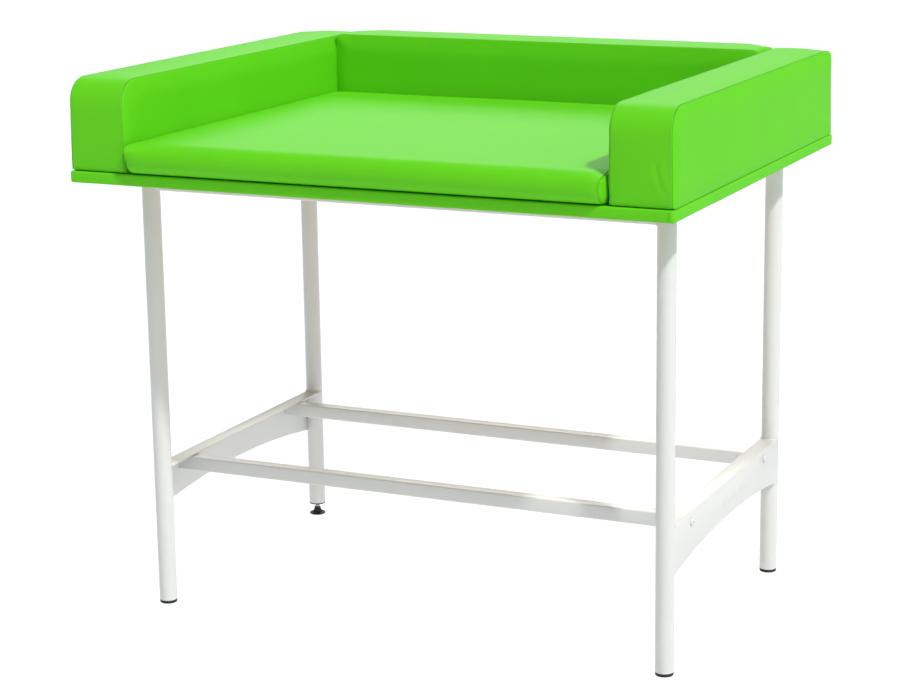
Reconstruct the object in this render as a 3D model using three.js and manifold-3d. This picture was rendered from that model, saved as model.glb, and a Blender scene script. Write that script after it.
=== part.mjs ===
// Changing table: a welded tube frame on four levelling feet carries an upholstered board with
// three foam bolsters round a loose changing pad. Millimetres, +Z up, the user stands at -Y.
import * as THREE from "three";
import { mergeVertices } from "three/addons/utils/BufferGeometryUtils.js";
import Module from "manifold-3d";

const wasm = await Module();
wasm.setup();

// Driving dimensions
const boardWidth = 1100;
const boardDepth = 880;
const boardUnderside = 800; // floor to the underside of the covered board
const panelThickness = 16;
const coverThickness = 1.5; // leatherette with its backing
const hemWidth = 40; // the cover's turn-under below the panel
const clearance = 0.3; // between pieces that touch

const bolsterWidth = 110;
const bolsterHeight = 160;
const bolsterNose = 48; // radius of the side bolsters' front top corner
const bolsterHeel = 12; // and of their back top corner
const backCorner = 10; // radius of the back bolster's top corners
const bolsterSetback = 2; // bolsters stand this far in from the board's edges
const slatThickness = 12;

const padThickness = 54;
const padOverhang = 10; // the pad's front passes the board's front edge
const padSideRoom = 2; // each side, between the pad and a bolster
const padRounding = 14;
const padCorner = 16; // corner radius seen from above

const legDiameter = 32;
const legWall = 2;
const legInsetX = 66; // leg axis to the board's side edge
const legInsetY = 151; // leg axis to the board's front and back edges
const footRimHeight = 6; // what a foot that is screwed home shows below its tube
const shortLegLift = 19; // the back left tube ends higher, and its foot is screwed out by as much

const upperRailHeight = 30;
const upperRailWidth = 20;
const upperSideRailHeight = 20;
const upperWall = 2;

const flangeTop = 261; // floor to the top of the side stretchers
const sheetThickness = 3;
const webDepthEnd = 84;
const webDepthMiddle = 62;
const crossRailSize = 25;
const crossRailWall = 2;
const crossRailY = 203; // each cross rail's middle, in front of and behind the centre

const mountPlateOut = 22; // leg axis to the plate's outer edges
const mountPlateIn = 42; // leg axis to its inner edges
const mountPlateThickness = 3;
const screwRadius = 2.5; // wood screws
const plateScrewIn = 30; // leg axis to its plate's screw, inwards both ways
const plateScrewLength = 14;
const pilotRadius = screwRadius + 0.1;
const slatScrewInX = 30; // side bolsters' screws, outwards from the bolsters' inner faces
const slatScrewY = boardDepth * 0.4;
const slatScrewX = boardWidth * 0.2;

const boltRadius = 4;
const boltHeadRadius = 7;
const boltHeadHeight = 4.2;
const boltSocket = 2.6; // the hexagon's radius to its corners
const nutLength = 24;

const plugRim = 2;
const plugDepth = 26; // how far a plug reaches up into its tube
const plugBore = 4.05; // radius
const studRadius = 3.7;
const studEnd = 59; // the stud's top above the floor
const neckRadius = 6.4;
const neckTop = 14.4; // the sole's neck above the floor

const slatInset = 5; // wadding between a slat's edges and the cover, not modelled
const foamInset = 10; // and round the foam
const sewnTurnIn = 8; // the covers' turn-under below a bolster

// Derived dimensions
const skin = coverThickness + clearance;
const panelUnderside = boardUnderside + skin;
const panelTop = panelUnderside + panelThickness;
const boardTop = panelTop + skin;
const legX = boardWidth / 2 - legInsetX;
const legY = boardDepth / 2 - legInsetY;
const legRadius = legDiameter / 2;
const plateUnderside = panelUnderside - clearance - mountPlateThickness;
const legTop = plateUnderside - clearance;
const bolsterOuterX = boardWidth / 2 - bolsterSetback;
const bolsterInnerX = bolsterOuterX - bolsterWidth;
const bolsterEndY = boardDepth / 2 - bolsterSetback;
const bolsterBase = boardTop + clearance;
const flangeUnderside = flangeTop - sheetThickness;
const webOuterX = legX + legRadius;
const webInnerX = webOuterX - sheetThickness;
const centreY = padOverhang / 2; // the board's centre, so that the whole object is centred on the origin
const crossRailTop = flangeUnderside - clearance;
const boltZ = crossRailTop - crossRailSize / 2;
const crossRailHalf = webInnerX - clearance;
const glideRimTop = footRimHeight - 2 * clearance - plugRim;
const sideBolsterMiddleX = (bolsterOuterX + bolsterInnerX) / 2;
const backBolsterMiddleY = bolsterEndY - bolsterWidth / 2;
const backBolsterHalf = bolsterInnerX - 1.5;
const padHalf = bolsterInnerX - padSideRoom;
const padFront = -boardDepth / 2 - padOverhang;
const padBack = bolsterEndY - bolsterWidth - padSideRoom;

// Finishes
const green = { color: "#6cd82e", roughness: 0.42, metalness: 0 };
const white = { color: "#e9eae6", roughness: 0.38, metalness: 0 };
const black = { color: "#17181a", roughness: 0.55, metalness: 0 };
const zinc = { color: "#b9bcbf", roughness: 0.35, metalness: 1 };
const plywood = { color: "#c9a878", roughness: 0.7, metalness: 0 };
const foam = { color: "#e6dfc4", roughness: 0.95, metalness: 0 };

const table = new THREE.Group();
table.position.y = centreY;

function addPiece(name, geometry, finish, position = [0, 0, 0], turnZ = 0) {
  const mesh = new THREE.Mesh(geometry, new THREE.MeshStandardMaterial(finish));
  mesh.name = name;
  mesh.position.set(...position);
  mesh.rotation.z = turnZ;
  table.add(mesh);
  return mesh;
}

// Booleans: a closed geometry to a manifold solid and back
function solid(geometry) {
  const bare = geometry.index ? geometry.toNonIndexed() : geometry.clone();
  for (const name of Object.keys(bare.attributes)) {
    if (name !== "position") bare.deleteAttribute(name);
  }
  const merged = mergeVertices(bare, 1e-4);
  return new wasm.Manifold(
    new wasm.Mesh({
      numProp: 3,
      vertProperties: merged.attributes.position.array,
      triVerts: new Uint32Array(merged.index.array),
    }),
  );
}

function geometryOf(manifold) {
  const mesh = manifold.getMesh();
  const geometry = new THREE.BufferGeometry();
  const places = new Float32Array(mesh.vertProperties);
  const corners = new Uint32Array(mesh.triVerts);
  geometry.setAttribute("position", new THREE.BufferAttribute(places, 3));
  geometry.setIndex(new THREE.BufferAttribute(corners, 1));
  return geometry;
}

function cut(geometry, ...tools) {
  let result = solid(geometry);
  for (const tool of tools) result = result.subtract(solid(tool));
  return geometryOf(result);
}

function join(...geometries) {
  let result = solid(geometries[0]);
  for (const other of geometries.slice(1)) result = result.add(solid(other));
  return geometryOf(result);
}

// Basic shapes
function box(low, high) {
  const size = high.map((value, axis) => value - low[axis]);
  const middle = high.map((value, axis) => (value + low[axis]) / 2);
  return new THREE.BoxGeometry(...size).translate(...middle);
}

function post(radius, bottom, top, sides = 32) {
  const shape = new THREE.CylinderGeometry(radius, radius, top - bottom, sides);
  return shape.rotateX(Math.PI / 2).translate(0, 0, (top + bottom) / 2);
}

function barAlongX(radius, start, end, sides = 20) {
  const shape = new THREE.CylinderGeometry(radius, radius, end - start, sides);
  return shape.rotateZ(Math.PI / 2).translate((start + end) / 2, 0, 0);
}

function turned(outline, sides = 20) {
  const points = outline.map(([radius, height]) => new THREE.Vector2(radius, height));
  return new THREE.LatheGeometry(points, sides).rotateX(Math.PI / 2);
}

// An outline drawn in Y and Z, pulled along X
function extrudeAlongX(shape, start, end, curveSegments = 8) {
  const settings = { depth: end - start, bevelEnabled: false, curveSegments };
  const geometry = new THREE.ExtrudeGeometry(shape, settings);
  return geometry.rotateX(Math.PI / 2).rotateZ(Math.PI / 2).translate(start, 0, 0);
}

const sides = [
  ["left", -1],
  ["right", 1],
];
const ends = [
  ["front", -1],
  ["back", 1],
];
const legs = ends.flatMap(([end, y]) => sides.map(([side, x]) => ({ name: `${end}_${side}`, x, y })));

function isShortLeg(leg) {
  return leg.name === "back_left";
}

// Frame

function legTube(leg) {
  const bottom = footRimHeight + (isShortLeg(leg) ? shortLegLift : 0);
  const tube = cut(post(legRadius, bottom, legTop), post(legRadius - legWall, bottom - 1, legTop + 1));
  addPiece(`leg_${leg.name}`, tube, white, [leg.x * legX, leg.y * legY, 0]);
}

// A length of square tube between two legs, its ends hollowed to fit round them
function upperRail(name, alongX, sign, height) {
  const half = (alongX ? legX : legY) - 2;
  const width = upperRailWidth / 2;
  const bottom = legTop - height;
  const inner = width - upperWall;
  const along = (length, across, low, high) => {
    const reach = alongX ? [length, across] : [across, length];
    return box([-reach[0], -reach[1], low], [reach[0], reach[1], high]);
  };
  const saddle = (end) => {
    const place = alongX ? [end * legX, 0, 0] : [0, end * legY, 0];
    return post(legRadius + clearance, bottom - 1, legTop + 1).translate(...place);
  };
  const rail = cut(
    along(half, width, bottom, legTop),
    along(half + 1, inner, bottom + upperWall, legTop - upperWall),
    saddle(-1),
    saddle(1),
  );
  addPiece(name, rail, white, alongX ? [0, sign * legY, 0] : [sign * legX, 0, 0]);
}

function mountPlate(leg) {
  const span = (way) => (way < 0 ? [-mountPlateOut, mountPlateIn] : [-mountPlateIn, mountPlateOut]);
  const [left, right] = span(leg.x);
  const [front, back] = span(leg.y);
  const sheet = box([left, front, plateUnderside], [right, back, plateUnderside + mountPlateThickness]);
  const screwHole = post(screwRadius + clearance, plateUnderside - 1, plateUnderside + 5, 16);
  const plate = cut(sheet, screwHole.translate(-leg.x * plateScrewIn, -leg.y * plateScrewIn, 0));
  addPiece(`mount_plate_${leg.name}`, plate, white, [leg.x * legX, leg.y * legY, 0]);
}

// A folded sheet between a front and a back leg: a flat flange on top and a deep web on the outside
// whose lower edge is an arch.
function sideStretcher(side, x) {
  const rise = webDepthEnd - webDepthMiddle;
  const archRadius = (legY * legY + rise * rise) / (2 * rise);
  const archCentreZ = flangeTop - webDepthMiddle - archRadius;
  const archHalfAngle = Math.asin(legY / archRadius);
  const web = new THREE.Shape();
  web.moveTo(-legY, flangeTop);
  web.lineTo(-legY, flangeTop - webDepthEnd);
  web.absarc(0, archCentreZ, archRadius, Math.PI / 2 + archHalfAngle, Math.PI / 2 - archHalfAngle, true);
  web.lineTo(legY, flangeTop);
  web.closePath();
  const webSheet = extrudeAlongX(web, webInnerX, webOuterX, 6);
  const flange = box([legX - legRadius, -legY, flangeUnderside], [webOuterX - 1, legY, flangeTop]);
  const saddles = ends.map(([, y]) => post(legRadius + clearance, 0, 300).translate(legX, y * legY, 0));
  const boltHoles = ends.map(([, y]) =>
    barAlongX(boltRadius + clearance, webInnerX - 1, webOuterX + 1).translate(0, y * crossRailY, boltZ),
  );
  const outside = legEndTrims();
  const sheet = cut(join(webSheet, flange), ...saddles, ...boltHoles, ...outside);
  const geometry = x < 0 ? mirrored(sheet) : sheet;
  addPiece(`side_stretcher_${side}`, geometry, white);
}

// Nothing of the folded sheet passes the legs' axes on the outside, so its ends butt on the tubes
function legEndTrims() {
  return ends.map(([, y]) => {
    const start = y * (legY - 3);
    const end = y * (legY + 20);
    return box([legX - 30, Math.min(start, end), 0], [legX + 30, Math.max(start, end), 300]);
  });
}

function mirrored(geometry) {
  return geometryOf(solid(geometry).mirror([1, 0, 0]));
}

function crossRail(end, y) {
  const half = crossRailSize / 2;
  const hollow = half - crossRailWall;
  const rail = cut(
    box([-crossRailHalf, -half, boltZ - half], [crossRailHalf, half, boltZ + half]),
    box([-crossRailHalf - 1, -hollow, boltZ - hollow], [crossRailHalf + 1, hollow, boltZ + hollow]),
  );
  addPiece(`cross_rail_${end}`, rail, white, [0, y * crossRailY, 0]);
}

// A square nut pressed into each end of a cross rail, and the bolt that holds the rail to the web
function railFixings(end, y, side, x) {
  const half = crossRailSize / 2 - crossRailWall - clearance;
  const outer = crossRailHalf - 1;
  const nut = cut(
    box([outer - nutLength, -half, -half], [outer, half, half]),
    barAlongX(boltRadius + 0.05, outer - nutLength - 1, outer + 1),
  );
  const turn = x < 0 ? Math.PI : 0;
  const place = [0, y * crossRailY, boltZ];
  addPiece(`rail_nut_${end}_${side}`, nut, zinc, place, turn);
  const headStart = webOuterX + clearance;
  const shankEnd = outer - nutLength + 4;
  const head = buttonHead(boltHeadRadius, boltHeadHeight);
  const shank = boltRadius - 0.3;
  const bolt = cut(
    turned([[0, shankEnd - headStart], [shank, shankEnd - headStart], [shank, 0], ...head]),
    new THREE.CylinderGeometry(boltSocket, boltSocket, 3, 6)
      .rotateX(Math.PI / 2)
      .translate(0, 0, boltHeadHeight),
  );
  bolt.rotateY(Math.PI / 2).translate(headStart, 0, 0);
  addPiece(`rail_bolt_${end}_${side}`, bolt, white, place, turn);
}

// The outline of a domed screw head that stands on z = 0
function buttonHead(radius, height) {
  return [
    [radius, 0],
    [radius, height * 0.25],
    [radius * 0.8, height * 0.75],
    [radius * 0.45, height],
    [0, height],
  ];
}

// Levelling feet

function levellingFoot(leg) {
  const tubeEnd = footRimHeight + (isShortLeg(leg) ? shortLegLift : 0);
  const place = [leg.x * legX, leg.y * legY, 0];
  addPiece(`leg_plug_${leg.name}`, legPlug(tubeEnd), black, place);
  addPiece(`foot_glide_${leg.name}`, footGlide(), black, place);
  addPiece(`foot_stud_${leg.name}`, footStud(), zinc, place);
}

// The plug closes the tube's end. Below its threaded bush it is hollow, and takes in the foot's neck.
function legPlug(tubeEnd) {
  const bottom = tubeEnd - clearance - plugRim;
  const top = tubeEnd + plugDepth;
  const inside = legRadius - legWall - clearance;
  const body = turned(
    [
      [0, bottom],
      [legRadius - 0.6, bottom],
      [legRadius, bottom + 0.6],
      [legRadius, tubeEnd - clearance],
      [inside, tubeEnd - clearance],
      [inside, top - 2],
      [inside - 1.5, top],
      [0, top],
    ],
    28,
  );
  const recess = turned(
    [
      [0, bottom - 1],
      [15, bottom - 1],
      [14.9, bottom],
      [11.3, bottom + 1.4],
      [8.6, bottom + 4],
      [7.1, bottom + 8],
      [7.1, bottom + neckTop - glideRimTop + 0.6],
      [0, bottom + neckTop - glideRimTop + 0.6],
    ],
    20,
  );
  return cut(body, recess, post(plugBore, bottom, top + 1, 16));
}

// A bell: a broad rounded sole that narrows to a neck
function footGlide() {
  const bell = turned(
    [
      [0, 0],
      [13.2, 0],
      [15, 0.7],
      [15.6, 1.9],
      [15.4, 3],
      [14.4, glideRimTop],
      [10.4, glideRimTop + 1.2],
      [7.8, glideRimTop + 3.9],
      [neckRadius, glideRimTop + 7.8],
      [neckRadius, neckTop],
      [0, neckTop],
    ],
    28,
  );
  return cut(bell, post(studRadius - 0.5, 2, neckTop + 1, 16));
}

function footStud() {
  const shank = studRadius - 0.8;
  return turned(
    [
      [0, 2.3],
      [shank, 2.3],
      [shank, neckTop + clearance],
      [studRadius, neckTop + clearance],
      [studRadius, studEnd - 1],
      [studRadius - 1, studEnd],
      [0, studEnd],
    ],
    16,
  );
}

// Board

function boardPanel() {
  const x = boardWidth / 2 - skin;
  const y = boardDepth / 2 - skin;
  const panel = box([-x, -y, panelUnderside], [x, y, panelTop]);
  const pilotHoles = legs.map((leg) =>
    post(pilotRadius, panelUnderside - 1, panelUnderside + 13, 12).translate(...plateScrewPlace(leg), 0),
  );
  const clearHoles = slatScrews.map((screw) =>
    post(screwRadius + clearance, panelUnderside - 1, panelTop + 1, 12).translate(screw.x, screw.y, 0),
  );
  addPiece("board_panel", cut(panel, ...pilotHoles, ...clearHoles), plywood);
}

function plateScrewPlace(leg) {
  return [leg.x * (legX - plateScrewIn), leg.y * (legY - plateScrewIn)];
}

// The covering goes over the top, round the edges and a hem's width under the panel
function boardCover() {
  const outline = roundedRectangle(boardWidth, boardDepth, 3);
  const outer = new THREE.ExtrudeGeometry(outline, {
    depth: boardTop - boardUnderside - 3,
    bevelEnabled: true,
    bevelThickness: 1.5,
    bevelSize: 1.5,
    bevelOffset: -1.5,
    bevelSegments: 2,
    curveSegments: 3,
  }).translate(0, 0, boardUnderside + 1.5);
  const x = boardWidth / 2 - coverThickness;
  const y = boardDepth / 2 - coverThickness;
  const low = boardUnderside + coverThickness;
  const hollow = box([-x, -y, low], [x, y, boardTop - coverThickness]);
  const opening = box([hemWidth - x, hemWidth - y, low - 5], [x - hemWidth, y - hemWidth, low + 1]);
  const screwHoles = slatScrews.map((screw) =>
    post(screwRadius + clearance, boardTop - 5, boardTop + 5, 12).translate(screw.x, screw.y, 0),
  );
  addPiece("board_cover", cut(outer, hollow, opening, ...screwHoles), green);
}

function roundedRectangle(width, depth, radius) {
  const x = width / 2 - radius;
  const y = depth / 2 - radius;
  const shape = new THREE.Shape();
  shape.absarc(x, -y, radius, -Math.PI / 2, 0, false);
  shape.absarc(x, y, radius, 0, Math.PI / 2, false);
  shape.absarc(-x, y, radius, Math.PI / 2, Math.PI, false);
  shape.absarc(-x, -y, radius, Math.PI, 1.5 * Math.PI, false);
  shape.closePath();
  return shape;
}

// A countersunk screw that points up from z = 0
function woodScrew(length) {
  return cut(
    turned(
      [
        [0, -3],
        [4, -3],
        [4.6, -1.5],
        [4.6, 0],
        [screwRadius - 0.2, 0],
        [screwRadius - 0.2, length - 4],
        [0, length],
      ],
      12,
    ),
    box([-0.5, -3, -4], [0.5, 3, -2]),
    box([-3, -0.5, -4], [3, 0.5, -2]),
  );
}

function plateScrew(leg) {
  const [x, y] = plateScrewPlace(leg);
  addPiece(`board_screw_${leg.name}`, woodScrew(plateScrewLength), zinc, [x, y, plateUnderside - clearance]);
}

// Bolsters

const slatScrews = [
  ...sides.flatMap(([side, x]) =>
    ends.map(([end, y]) => ({
      name: `${side}_${end}`,
      x: x * (bolsterInnerX + slatScrewInX),
      y: y * slatScrewY,
    })),
  ),
  ...sides.map(([side, x]) => ({ name: `back_${side}`, x: x * slatScrewX, y: backBolsterMiddleY })),
];

// A bolster's outline seen from its side, with a rounded front top corner and softened other ones
function bolsterOutline(length, height, nose, heel, inset) {
  const half = length / 2 - inset;
  const top = height - inset;
  const bottom = inset;
  const noseRadius = Math.max(nose - inset, 1);
  const heelRadius = Math.max(heel - inset, 1);
  const shape = new THREE.Shape();
  shape.moveTo(-half, bottom);
  shape.lineTo(half, bottom);
  shape.absarc(half - heelRadius, top - heelRadius, heelRadius, 0, Math.PI / 2, false);
  shape.absarc(-half + noseRadius, top - noseRadius, noseRadius, Math.PI / 2, Math.PI, false);
  shape.closePath();
  return shape;
}

// One bolster: a wooden slat and a foam block in a covering that is open underneath.
// Its length lies along Y, and place puts it on the board.
function bolster(name, length, nose, heel, place, turn, screwFilter) {
  const half = bolsterWidth / 2;
  const cover = extrudeAlongX(bolsterOutline(length, bolsterHeight, nose, heel, 0), -half, half, 8);
  const hollow = extrudeAlongX(
    bolsterOutline(length, bolsterHeight, nose, heel, coverThickness),
    coverThickness - half,
    half - coverThickness,
    8,
  );
  const mouth = box(
    [skin + sewnTurnIn - half, skin + sewnTurnIn - length / 2, -1],
    [half - skin - sewnTurnIn, length / 2 - skin - sewnTurnIn, coverThickness + 1],
  );
  addPiece(`${name}_cover`, cut(cover, hollow, mouth), green, place, turn);
  const slatBottom = skin;
  const slatTop = slatBottom + slatThickness;
  const slatHalf = half - slatInset;
  const slatEnd = length / 2 - slatInset;
  const localScrews = slatScrews.filter(screwFilter).map((screw) => {
    const local = new THREE.Vector3(screw.x - place[0], screw.y - place[1], 0);
    return local.applyAxisAngle(new THREE.Vector3(0, 0, 1), -turn);
  });
  const pilots = localScrews.map((local) =>
    post(pilotRadius, slatBottom - 1, slatTop - 2, 12).translate(local.x, local.y, 0),
  );
  const slat = cut(box([-slatHalf, -slatEnd, slatBottom], [slatHalf, slatEnd, slatTop]), ...pilots);
  addPiece(`${name}_slat`, slat, plywood, place, turn);
  const block = bolsterOutline(length, bolsterHeight, nose, heel, foamInset);
  const foamBlock = cut(
    extrudeAlongX(block, foamInset - half, half - foamInset, 6),
    box([-half, -length, 0], [half, length, slatTop + clearance]),
  );
  addPiece(`${name}_foam`, foamBlock, foam, place, turn);
}

function slatScrew(screw) {
  const long = bolsterBase + skin + slatThickness - 5 - (panelUnderside - clearance);
  const place = [screw.x, screw.y, panelUnderside - clearance];
  addPiece(`bolster_screw_${screw.name}`, woodScrew(long), zinc, place);
}

// Changing pad

function changingPad() {
  const depth = padBack - padFront;
  const place = [0, (padFront + padBack) / 2, bolsterBase];
  const outline = (inset) =>
    roundedRectangle(2 * (padHalf - inset), depth - 2 * inset, padCorner - inset / 2);
  const softBox = (inset, rounding) =>
    new THREE.ExtrudeGeometry(outline(inset), {
      depth: padThickness - 2 * inset - 2 * rounding,
      bevelEnabled: true,
      bevelThickness: rounding,
      bevelSize: rounding,
      bevelOffset: -rounding,
      bevelSegments: 3,
      curveSegments: 3,
    }).translate(0, 0, inset + rounding);
  const zipHalf = 0.35 * depth;
  const zipZ = padThickness / 2;
  const zip = box([-zipHalf, depth / 2 - 20, zipZ - 1], [zipHalf, depth / 2 + 5, zipZ + 1]);
  const cover = cut(softBox(0, padRounding), softBox(coverThickness, padRounding - coverThickness), zip);
  addPiece("pad_cover", cover, green, place);
  addPiece("pad_foam", softBox(foamInset, padRounding - 8), foam, place);
}

// Assembly

for (const leg of legs) {
  legTube(leg);
  mountPlate(leg);
  levellingFoot(leg);
  plateScrew(leg);
}
for (const [end, y] of ends) {
  upperRail(`upper_rail_${end}`, true, y, upperRailHeight);
  crossRail(end, y);
  for (const [side, x] of sides) railFixings(end, y, side, x);
}
for (const [side, x] of sides) {
  upperRail(`upper_rail_${side}`, false, x, upperSideRailHeight);
  sideStretcher(side, x);
}
boardPanel();
boardCover();
for (const [side, x] of sides) {
  const place = [x * sideBolsterMiddleX, 0, bolsterBase];
  const own = (screw) => screw.name.startsWith(side);
  bolster(`bolster_${side}`, 2 * bolsterEndY, bolsterNose, bolsterHeel, place, 0, own);
}
const backPlace = [0, backBolsterMiddleY, bolsterBase];
const ownBackScrew = (screw) => screw.name.startsWith("back");
bolster("bolster_back", 2 * backBolsterHalf, backCorner, backCorner, backPlace, Math.PI / 2, ownBackScrew);
for (const screw of slatScrews) slatScrew(screw);
changingPad();

export default table;
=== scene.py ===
import math
import time

import bmesh
import bpy
from mathutils import Matrix, Vector, noise
from mathutils.bvhtree import BVHTree


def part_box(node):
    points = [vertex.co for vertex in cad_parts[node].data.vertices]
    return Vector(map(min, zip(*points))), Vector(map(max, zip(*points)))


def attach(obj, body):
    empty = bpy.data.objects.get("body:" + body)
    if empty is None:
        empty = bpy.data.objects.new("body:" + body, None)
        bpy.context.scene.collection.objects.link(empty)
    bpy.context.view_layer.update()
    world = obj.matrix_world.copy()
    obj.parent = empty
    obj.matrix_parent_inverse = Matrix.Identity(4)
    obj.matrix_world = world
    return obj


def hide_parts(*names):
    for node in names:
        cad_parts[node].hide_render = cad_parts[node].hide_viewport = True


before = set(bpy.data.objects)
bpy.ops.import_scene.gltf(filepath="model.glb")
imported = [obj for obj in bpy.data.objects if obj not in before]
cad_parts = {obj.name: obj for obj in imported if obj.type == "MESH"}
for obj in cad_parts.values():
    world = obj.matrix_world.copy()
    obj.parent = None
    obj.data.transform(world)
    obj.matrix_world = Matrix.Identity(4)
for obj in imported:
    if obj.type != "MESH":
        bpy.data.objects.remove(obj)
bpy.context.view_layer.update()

# Changing table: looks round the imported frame. Settings are in millimetres, meshes in metres.
mm = 0.001
scene = bpy.context.scene
startTime = time.perf_counter()
sides = {"left": -1, "right": 1}
ends = {"front": -1, "back": 1}
legNames = [end + "_" + side for end in ends for side in sides]


def report(stage):
    print(stage, "after", round(time.perf_counter() - startTime, 1), "s")


def middleOf(node):
    low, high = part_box(node)
    return (low + high) / 2


def toLinear(hexText):
    channels = [int(hexText[i:i + 2], 16) / 255 for i in (1, 3, 5)]
    return [c / 12.92 if c <= 0.04045 else ((c + 0.055) / 1.055) ** 2.4 for c in channels] + [1]


def addNode(tree, kind, settings={}, links={}):
    # a text key is a setting of the node or a socket's name, a number is a socket's place
    node = tree.nodes.new(kind)
    for key, value in settings.items():
        if isinstance(key, str) and hasattr(node, key):
            setattr(node, key, value)
        else:
            node.inputs[key].default_value = value
    for key, source in links.items():
        tree.links.new(source, node.inputs[key])
    return node


def newMaterial(name, surfaceSettings):
    material = bpy.data.materials.new(name)
    material.use_nodes = True
    tree = material.node_tree
    tree.nodes.clear()
    surface = addNode(tree, "ShaderNodeBsdfPrincipled", surfaceSettings)
    addNode(tree, "ShaderNodeOutputMaterial", links={"Surface": surface.outputs[0]})
    place = addNode(tree, "ShaderNodeTexCoord").outputs["Object"]
    return material, tree, surface, place


def feedSurface(tree, surface, sources):
    for socket, source in sources.items():
        tree.links.new(source, surface.inputs[socket])


def patternedMaterial(name, look, surfaceSettings, kind, patternSettings, output="Fac"):
    # one pattern drives the tone, from its hollows to its peaks, and the gloss and the relief
    # where the look has them
    material, tree, surface, place = newMaterial(name, surfaceSettings)
    if "stretch" in look:
        along = addNode(tree, "ShaderNodeMapping", {"Scale": (1 / look["stretch"], 1, 1)}, {"Vector": place})
        place = along.outputs[0]
    pattern = addNode(tree, kind, patternSettings, {"Vector": place}).outputs[output]
    low, high = [toLinear(tone) for tone in look["tones"]]
    tone = addNode(tree, "ShaderNodeMix", {"data_type": "RGBA", 6: low, 7: high}, {0: pattern})
    sources = {"Base Color": tone.outputs[2]}
    if "gloss" in look:
        gloss = addNode(tree, "ShaderNodeMapRange", {3: look["gloss"][0], 4: look["gloss"][1]}, {0: pattern})
        sources["Roughness"] = gloss.outputs[0]
    if "depth" in look:
        bump = addNode(tree, "ShaderNodeBump", {"Strength": look["bump"], "Distance": look["depth"] * mm},
                       {"Height": pattern})
        sources["Normal"] = bump.outputs[0]
    feedSurface(tree, surface, sources)
    return material


leatheretteLook = {
    "light": "#61CB16",
    "dark": "#5BC313",
    # painted shade: the dark green the cover is mixed toward in its sewn grooves and along its stitch rows
    "paintedSeamShadeColour": "#2A6E06",
    "patch": 140,      # mm, width of the faint uneven tone
    "grain": 2.2,      # mm, drawn twice as coarse as the embossed 1 mm pebble so that it shows
    "grainDepth": 0.035,
    "bump": 0.6,
    "gloss": (0.57, 0.63),
    "specular": 0.18,  # the matt lacquer on the cover reflects less than bare PVC
}


def leatheretteMaterial(look):
    # PVC-coated fabric with a fine embossed grain: an even bright green with a dull, broad gloss, with
    # painted shade along its sewn seams
    material, tree, surface, place = newMaterial(
        "pvcLeatheretteEmbossed", {"IOR": 1.5, "Metallic": 0, "Specular IOR Level": look["specular"]})
    patches = addNode(tree, "ShaderNodeTexNoise",
                      {"Scale": 1 / (look["patch"] * mm), "Detail": 2, "Roughness": 0.5}, {"Vector": place})
    tone = addNode(tree, "ShaderNodeMix",
                   {"data_type": "RGBA", 6: toLinear(look["dark"]), 7: toLinear(look["light"])},
                   {0: patches.outputs["Fac"]})
    # painted shade: a point attribute set where the cover is sewn mixes the colour toward the dark seam green
    paintedSeamShadeMask = addNode(tree, "ShaderNodeAttribute", {"attribute_name": "paintedSeamShade"})
    colour = addNode(tree, "ShaderNodeMix", {"data_type": "RGBA", 7: toLinear(look["paintedSeamShadeColour"])},
                     {0: paintedSeamShadeMask.outputs["Fac"], 6: tone.outputs[2]})
    pebbles = addNode(tree, "ShaderNodeTexVoronoi",
                      {"feature": "SMOOTH_F1", "Scale": 1 / (look["grain"] * mm), "Smoothness": 0.6},
                      {"Vector": place})
    bump = addNode(tree, "ShaderNodeBump", {"Strength": look["bump"], "Distance": look["grainDepth"] * mm},
                   {"Height": pebbles.outputs["Distance"]})
    gloss = addNode(tree, "ShaderNodeMapRange", {3: look["gloss"][0], 4: look["gloss"][1]},
                    {0: patches.outputs["Fac"]})
    feedSurface(tree, surface, {"Base Color": colour.outputs[2], "Roughness": gloss.outputs[0],
                                "Normal": bump.outputs[0]})
    return material


powderLook = {
    "light": "#D8D9D6",
    "dark": "#D3D4D0",
    "peel": 3.0,       # mm, the orange peel is nearer 1.5 and drawn coarser so that it shows
    "peelDepth": 0.04,
    "bump": 0.5,
    "clouds": 9,       # to the metre
    "gloss": (0.32, 0.41),
}


def powderCoatMaterial(look):
    # Polyester powder coat baked on steel: white, satin, with the faint orange peel of melted powder
    material, tree, surface, place = newMaterial("powderCoatedSteelWhite", {"IOR": 1.5, "Metallic": 0})
    cloud = addNode(tree, "ShaderNodeTexNoise", {"Scale": look["clouds"], "Detail": 3}, {"Vector": place})
    tone = addNode(tree, "ShaderNodeMix",
                   {"data_type": "RGBA", 6: toLinear(look["dark"]), 7: toLinear(look["light"])},
                   {0: cloud.outputs["Fac"]})
    peel = addNode(tree, "ShaderNodeTexNoise", {"Scale": 1 / (look["peel"] * mm), "Detail": 1.5},
                   {"Vector": place})
    bump = addNode(tree, "ShaderNodeBump", {"Strength": look["bump"], "Distance": look["peelDepth"] * mm},
                   {"Height": peel.outputs["Fac"]})
    gloss = addNode(tree, "ShaderNodeMapRange", {3: look["gloss"][0], 4: look["gloss"][1]},
                    {0: cloud.outputs["Fac"]})
    feedSurface(tree, surface, {"Base Color": tone.outputs[2], "Roughness": gloss.outputs[0],
                                "Normal": bump.outputs[0]})
    return material


leatherette = leatheretteMaterial(leatheretteLook)
powderCoat = powderCoatMaterial(powderLook)

# Twisted polyester thread: dyed to the cover, soft sheen across the twist
threadLook = {
    "tones": ("#4CA41C", "#7CD644"),
    "twist": 0.8,      # mm from strand to strand, coarser than real thread so that it shows
}
thread = patternedMaterial(
    "polyesterThreadTwisted", threadLook, {"IOR": 1.54, "Roughness": 0.6, "Sheen Weight": 0.3},
    "ShaderNodeTexWave", {"bands_direction": "DIAGONAL", "Scale": 1 / (threadLook["twist"] * mm) / math.tau})

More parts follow.
